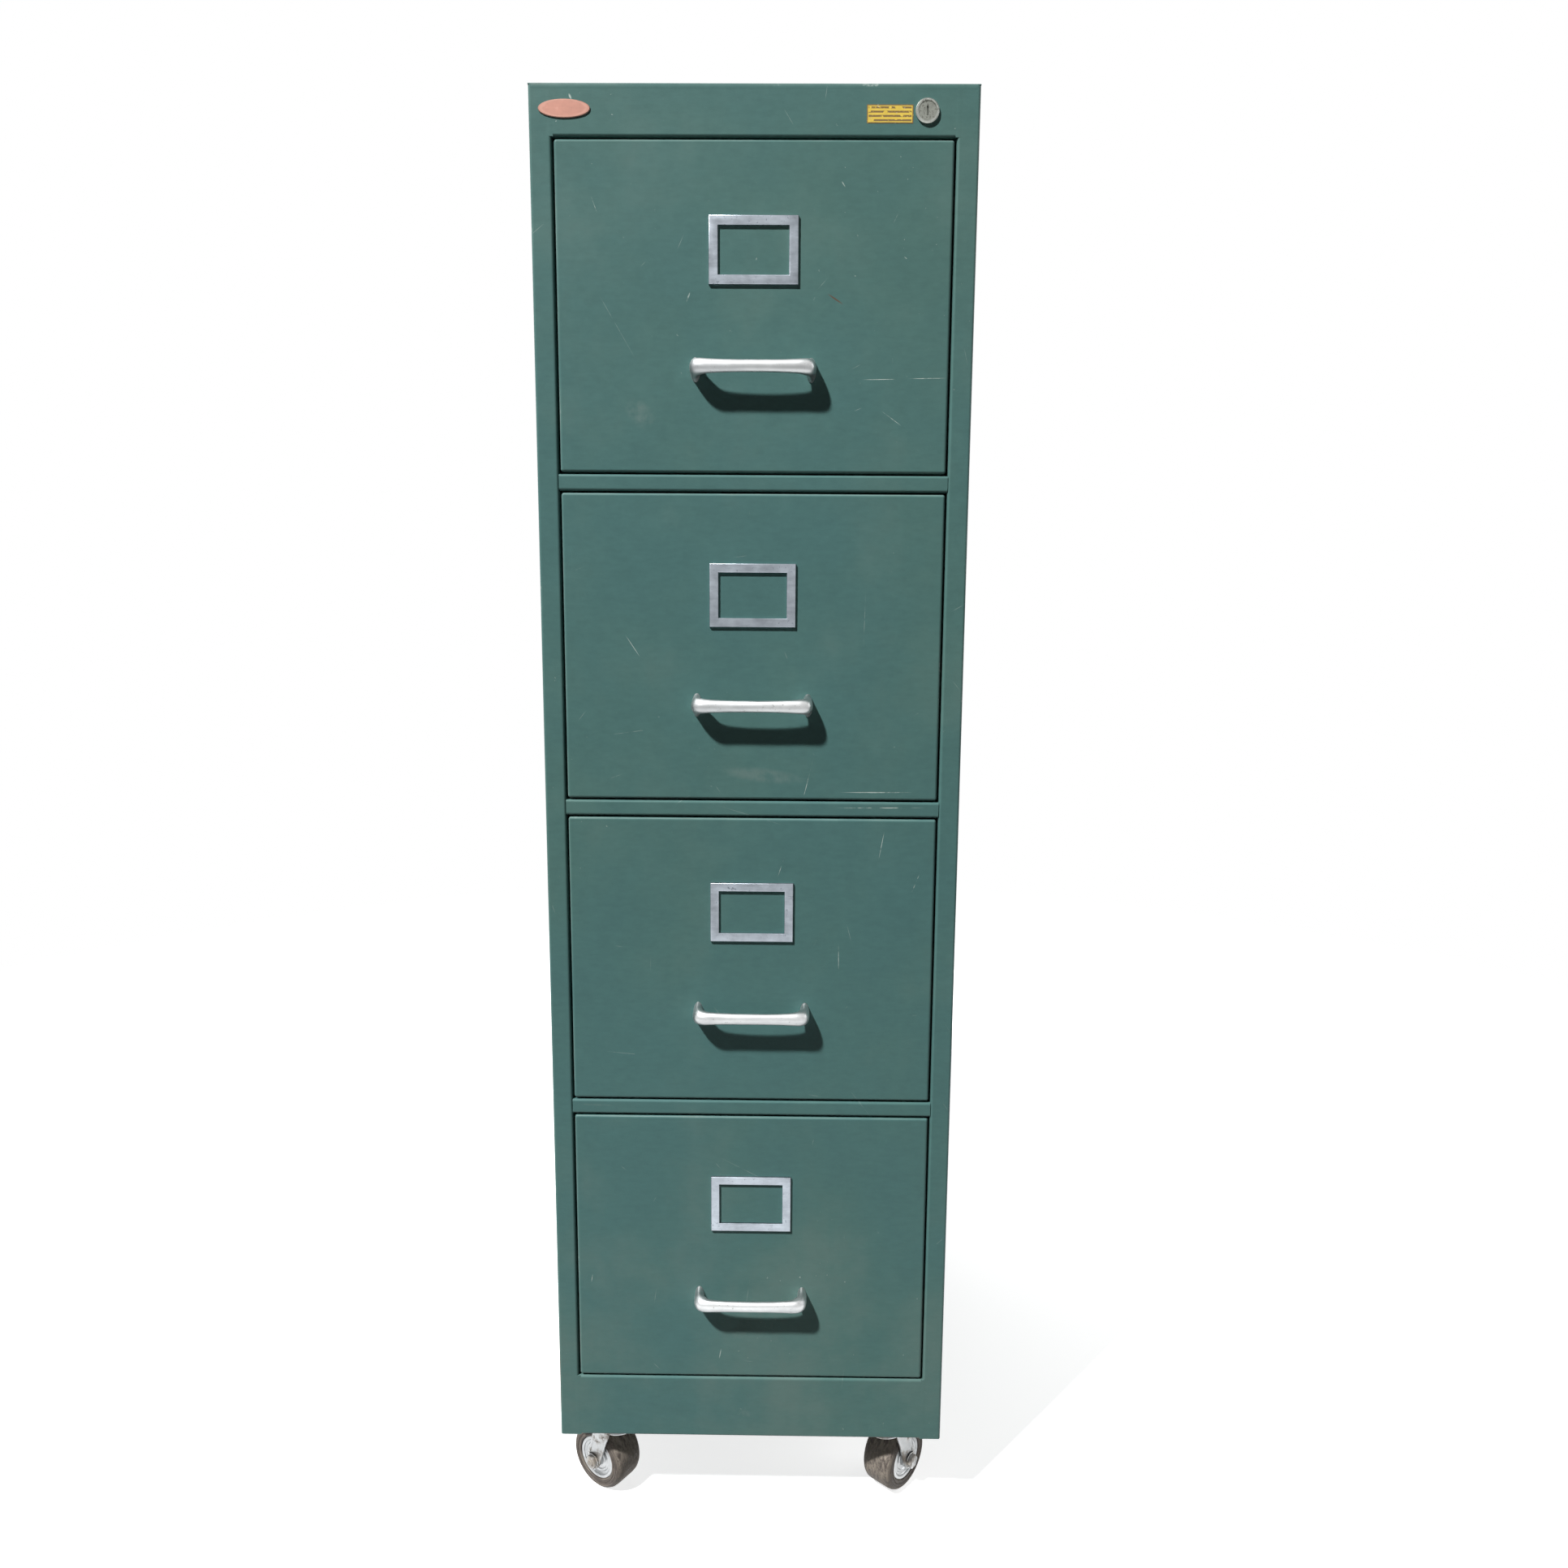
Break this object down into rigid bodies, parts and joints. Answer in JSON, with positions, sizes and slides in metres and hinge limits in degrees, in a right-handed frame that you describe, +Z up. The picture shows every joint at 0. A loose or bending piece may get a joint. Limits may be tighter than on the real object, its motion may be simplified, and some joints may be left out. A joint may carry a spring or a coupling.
{
  "type": "vertical filing cabinet",
  "caption": "Tall narrow sheet-steel filing cabinet with full-width drawers on telescopic slides, bar pulls, label frames, a lock and swivel casters.",
  "frame": {"origin": "centre of the footprint, handles included, on the floor", "axes": "+X to the right seen from the front, +Y from the front to the back, +Z up"},
  "size_m": [0.4, 0.642, 1.41],
  "materials": {
    "case_paint": "grey-green satin enamel, worn",
    "drawer_paint": "grey-green satin enamel, worn",
    "tray_paint": "grey-green enamel, inside",
    "inner_steel": "plain painted steel",
    "slide_zinc": "zinc-plated steel",
    "handle_metal": "polished cast metal",
    "label_metal": "brushed bright metal",
    "badge_metal": "copper-coloured plate, bare",
    "lock_metal": "dull plated metal",
    "caster_zinc": "zinc-plated steel, dusty",
    "caster_tyre": "dark rubber, dusty"
  },
  "bodies": {
    "case": {"left_side_panel": "case_paint", "right_side_panel": "case_paint", "top_panel": "case_paint", "back_panel": "case_paint", "floor_pan": "case_paint", "header_rail": "case_paint", "divider_rail_1": "case_paint", "divider_rail_2": "case_paint", "divider_rail_3": "case_paint", "base_plinth": "case_paint", "base_channels": "inner_steel", "slide_uprights": "inner_steel", "slide_outer_rails": "slide_zinc", "caster_plates": "caster_zinc", "lock_barrel": "lock_metal", "lock_guides": "inner_steel", "oval_badge": "badge_metal"},
    "lock_plug": {"lock_plug": "lock_metal"},
    "lock_bar": {"lock_bar": "inner_steel", "lock_hooks": "inner_steel"},
    "drawer_1": {"drawer_front_1": "drawer_paint", "drawer_tray_1": "tray_paint", "drawer_handle_1": "handle_metal", "label_frame_1": "label_metal", "slide_inner_1": "slide_zinc"},
    "slide_1": {"slide_middle_1": "slide_zinc"},
    "drawer_2": {"drawer_front_2": "drawer_paint", "drawer_tray_2": "tray_paint", "drawer_handle_2": "handle_metal", "label_frame_2": "label_metal", "slide_inner_2": "slide_zinc"},
    "slide_2": {"slide_middle_2": "slide_zinc"},
    "drawer_3": {"drawer_front_3": "drawer_paint", "drawer_tray_3": "tray_paint", "drawer_handle_3": "handle_metal", "label_frame_3": "label_metal", "slide_inner_3": "slide_zinc"},
    "slide_3": {"slide_middle_3": "slide_zinc"},
    "drawer_4": {"drawer_front_4": "drawer_paint", "drawer_tray_4": "tray_paint", "drawer_handle_4": "handle_metal", "label_frame_4": "label_metal", "slide_inner_4": "slide_zinc"},
    "slide_4": {"slide_middle_4": "slide_zinc"},
    "swivel_1": {"caster_fork_1": "caster_zinc", "caster_axle_1": "caster_zinc"},
    "wheel_1": {"caster_hub_1": "caster_zinc", "caster_tyre_1": "caster_tyre"},
    "swivel_2": {"caster_fork_2": "caster_zinc", "caster_axle_2": "caster_zinc"},
    "wheel_2": {"caster_hub_2": "caster_zinc", "caster_tyre_2": "caster_tyre"},
    "swivel_3": {"caster_fork_3": "caster_zinc", "caster_axle_3": "caster_zinc"},
    "wheel_3": {"caster_hub_3": "caster_zinc", "caster_tyre_3": "caster_tyre"},
    "swivel_4": {"caster_fork_4": "caster_zinc", "caster_axle_4": "caster_zinc"},
    "wheel_4": {"caster_hub_4": "caster_zinc", "caster_tyre_4": "caster_tyre"}
  },
  "joints": [
    {"name": "drawer_1_slide", "type": "slide", "parent": "case", "child": "drawer_1", "axis": [0, -1, 0], "range_m": [0, 0.55]},
    {"name": "slide_1_run", "type": "slide", "parent": "case", "child": "slide_1", "axis": [0, -1, 0], "range_m": [0, 0.275]},
    {"name": "drawer_2_slide", "type": "slide", "parent": "case", "child": "drawer_2", "axis": [0, -1, 0], "range_m": [0, 0.55]},
    {"name": "slide_2_run", "type": "slide", "parent": "case", "child": "slide_2", "axis": [0, -1, 0], "range_m": [0, 0.275]},
    {"name": "drawer_3_slide", "type": "slide", "parent": "case", "child": "drawer_3", "axis": [0, -1, 0], "range_m": [0, 0.55]},
    {"name": "slide_3_run", "type": "slide", "parent": "case", "child": "slide_3", "axis": [0, -1, 0], "range_m": [0, 0.275]},
    {"name": "drawer_4_slide", "type": "slide", "parent": "case", "child": "drawer_4", "axis": [0, -1, 0], "range_m": [0, 0.55]},
    {"name": "slide_4_run", "type": "slide", "parent": "case", "child": "slide_4", "axis": [0, -1, 0], "range_m": [0, 0.275]},
    {"name": "lock_turn", "type": "hinge", "parent": "case", "child": "lock_plug", "pos_m": [0.153, -0.299, 1.3874], "axis": [0, -1, 0], "range_deg": [0, 90]},
    {"name": "lock_lift", "type": "slide", "parent": "case", "child": "lock_bar", "axis": [0, 0, 1], "range_m": [0, 0.01272]},
    {"name": "caster_1_swivel", "type": "hinge", "parent": "case", "child": "swivel_1", "pos_m": [-0.145, -0.262, 0.083], "axis": [0, 0, 1], "continuous": true},
    {"name": "caster_1_roll", "type": "hinge", "parent": "swivel_1", "child": "wheel_1", "pos_m": [-0.15974, -0.25168, 0.035], "axis": [0.5736, 0.8192, 0], "continuous": true},
    {"name": "caster_2_swivel", "type": "hinge", "parent": "case", "child": "swivel_2", "pos_m": [0.145, -0.262, 0.083], "axis": [0, 0, 1], "continuous": true},
    {"name": "caster_2_roll", "type": "hinge", "parent": "swivel_2", "child": "wheel_2", "pos_m": [0.15657, -0.24821, 0.035], "axis": [0.766, -0.6428, 0], "continuous": true},
    {"name": "caster_3_swivel", "type": "hinge", "parent": "case", "child": "swivel_3", "pos_m": [-0.145, 0.284, 0.083], "axis": [0, 0, 1], "continuous": true},
    {"name": "caster_3_roll", "type": "hinge", "parent": "swivel_3", "child": "wheel_3", "pos_m": [-0.15657, 0.27021, 0.035], "axis": [-0.766, 0.6428, 0], "continuous": true},
    {"name": "caster_4_swivel", "type": "hinge", "parent": "case", "child": "swivel_4", "pos_m": [0.145, 0.284, 0.083], "axis": [0, 0, 1], "continuous": true},
    {"name": "caster_4_roll", "type": "hinge", "parent": "swivel_4", "child": "wheel_4", "pos_m": [0.15532, 0.26926, 0.035], "axis": [-0.8192, -0.5736, 0], "continuous": true}
  ],
  "couplings": [
    {"joint": "slide_1_run", "follows": "drawer_1_slide", "ratio": 0.5},
    {"joint": "slide_2_run", "follows": "drawer_2_slide", "ratio": 0.5},
    {"joint": "slide_3_run", "follows": "drawer_3_slide", "ratio": 0.5},
    {"joint": "slide_4_run", "follows": "drawer_4_slide", "ratio": 0.5},
    {"joint": "lock_turn", "follows": "lock_lift", "rad_per_m": 123.41}
  ]
}
